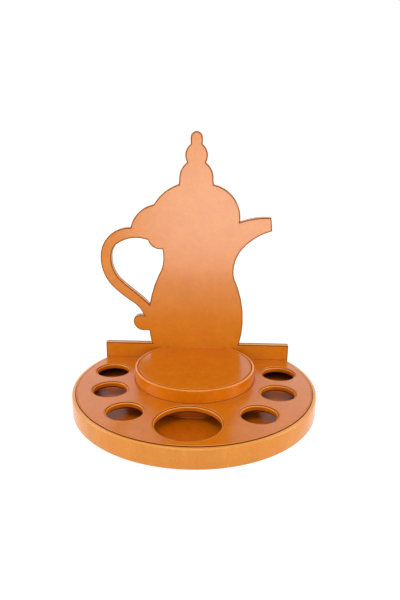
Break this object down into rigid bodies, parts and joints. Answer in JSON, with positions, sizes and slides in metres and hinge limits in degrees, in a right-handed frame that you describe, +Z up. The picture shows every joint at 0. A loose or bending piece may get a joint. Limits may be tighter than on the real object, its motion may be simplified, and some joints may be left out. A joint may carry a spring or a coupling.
{
  "type": "leather coffee serving stand",
  "caption": "Round leather-covered serving stand for coffee, with cup and bowl openings, a raised platform for the pot and a backboard cut to the outline of a dallah.",
  "frame": {"origin": "centre of the round base, on the surface that it stands on", "axes": "+Z up, +X to the right along the backboard as seen from the front, +Y towards the backboard at the rear"},
  "size_m": [0.402, 0.3214, 0.44],
  "materials": {
    "leather_band": "smooth tan leather, semi-gloss",
    "leather_top": "smooth tan leather, semi-gloss",
    "leather_backboard": "smooth tan leather, semi-gloss",
    "leather_lining": "smooth tan leather, in shade",
    "board": "raw fibreboard, covered by leather",
    "plywood": "raw bent plywood, covered by leather",
    "felt": "brown felt",
    "screw_steel": "zinc-plated wood screws"
  },
  "bodies": {
    "root": {"base_felt": "felt", "floor_panel": "board", "floor_lining": "leather_lining", "curved_wall": "board", "rear_wall": "board", "deck_board": "board", "base_band": "leather_band", "deck_leather": "leather_top", "bowl_sleeve": "leather_band", "cup_sleeve_1": "leather_band", "cup_sleeve_2": "leather_band", "cup_sleeve_3": "leather_band", "cup_sleeve_4": "leather_band", "cup_sleeve_5": "leather_band", "cup_sleeve_6": "leather_band", "platform_drum": "plywood", "platform_board": "board", "platform_band": "leather_band", "platform_leather": "leather_top", "backboard_core": "board", "backboard_edging": "leather_backboard", "backboard_front": "leather_backboard", "backboard_back": "leather_backboard", "backboard_screws": "screw_steel", "floor_screws": "screw_steel"}
  },
  "joints": []
}
